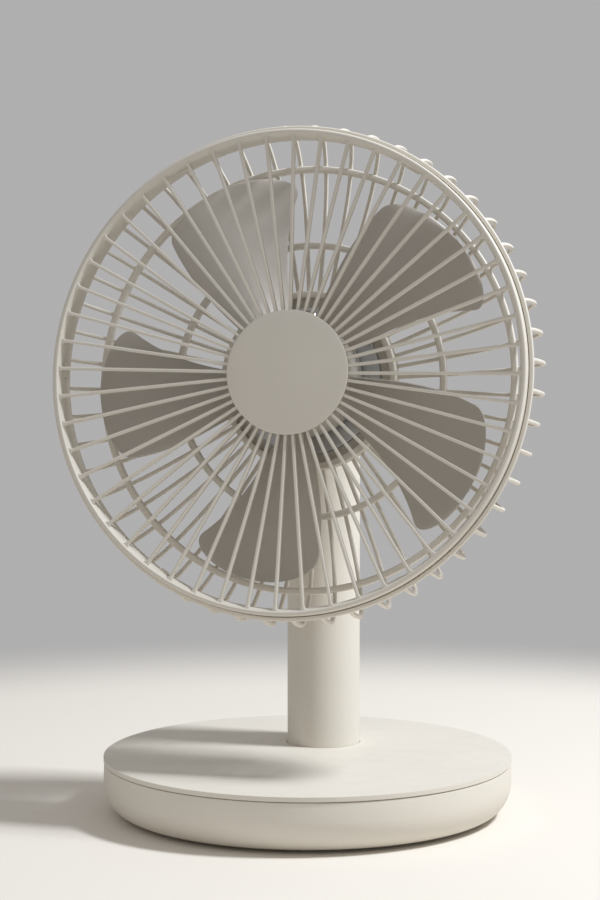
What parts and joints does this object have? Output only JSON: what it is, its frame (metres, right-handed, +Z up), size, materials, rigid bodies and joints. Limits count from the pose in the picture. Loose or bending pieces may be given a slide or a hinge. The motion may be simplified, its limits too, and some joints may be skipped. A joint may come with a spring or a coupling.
{
  "type": "desk fan",
  "caption": "Round weighted base and column carrying a tilting caged fan head with straight front bars, a ribbed rear cage and a plain centre cap.",
  "frame": {"origin": "middle of the base on the surface it stands on", "axes": "+Z up, -Y the way the fan blows, +X to the right seen from the front"},
  "size_m": [0.1798, 0.15, 0.2502],
  "materials": {
    "casing": "fine matt warm off-white",
    "blade_plastic": "satin warm greige",
    "panel_plastic": "fine matt warm grey",
    "black_plastic": "moulded black",
    "connector_plastic": "natural nylon",
    "light_guide": "clear frosted",
    "foot_rubber": "soft black",
    "wire_sleeve": "black sleeve",
    "fastener_steel": "zinc plated",
    "bearing_steel": "ground",
    "socket_steel": "plated",
    "stator_steel": "laminated",
    "ballast_iron": "black coated",
    "magnet_ferrite": "sintered",
    "mount_alloy": "die cast",
    "coil_copper": "enamelled copper",
    "circuit_board": "solder mask",
    "battery_wrap": "shrink sleeve"
  },
  "bodies": {
    "stand": {"base_bowl": "casing", "base_lid": "casing", "rubber_feet": "foot_rubber", "base_screws": "fastener_steel", "ballast_plate": "ballast_iron", "ballast_screws": "fastener_steel", "battery_pack": "battery_wrap", "control_board": "circuit_board", "board_screws": "fastener_steel", "loom_connector": "connector_plastic", "usb_socket": "socket_steel", "push_switch": "black_plastic", "status_light": "light_guide", "rear_panel": "panel_plastic", "column_tube": "casing", "column_clamp": "fastener_steel", "column_screws": "fastener_steel", "column_loom": "wire_sleeve", "hinge_yoke": "casing", "hinge_bolts": "fastener_steel", "hinge_washers": "black_plastic", "hinge_caps": "casing"},
    "head": {"front_grille": "casing", "centre_cap": "casing", "rear_grille": "casing", "motor_mount": "mount_alloy", "front_bearing": "bearing_steel", "rear_bearing": "bearing_steel", "stator_core": "stator_steel", "stator_coils": "coil_copper", "motor_board": "circuit_board", "motor_screws": "fastener_steel", "motor_cover": "casing", "cover_screws": "fastener_steel", "head_loom": "wire_sleeve"},
    "rotor": {"impeller": "blade_plastic", "rotor_cup": "bearing_steel", "magnet_ring": "magnet_ferrite", "motor_shaft": "bearing_steel", "shaft_clip": "fastener_steel"},
    "button": {"power_button": "casing"}
  },
  "joints": [
    {"name": "head_tilt", "type": "hinge", "parent": "stand", "child": "head", "pos_m": [0, 0.0235, 0.155], "axis": [-1, 0, 0], "range_deg": [-8.5, 71.5]},
    {"name": "rotor_spin", "type": "hinge", "parent": "head", "child": "rotor", "pos_m": [0, 0.0235, 0.155], "axis": [0, -0.989, 0.1478], "continuous": true},
    {"name": "button_press", "type": "slide", "parent": "stand", "child": "button", "axis": [0, -1, 0], "range_m": [0, 0.0008], "stiffness_N_per_m": 800, "springref_m": -0.0005}
  ]
}
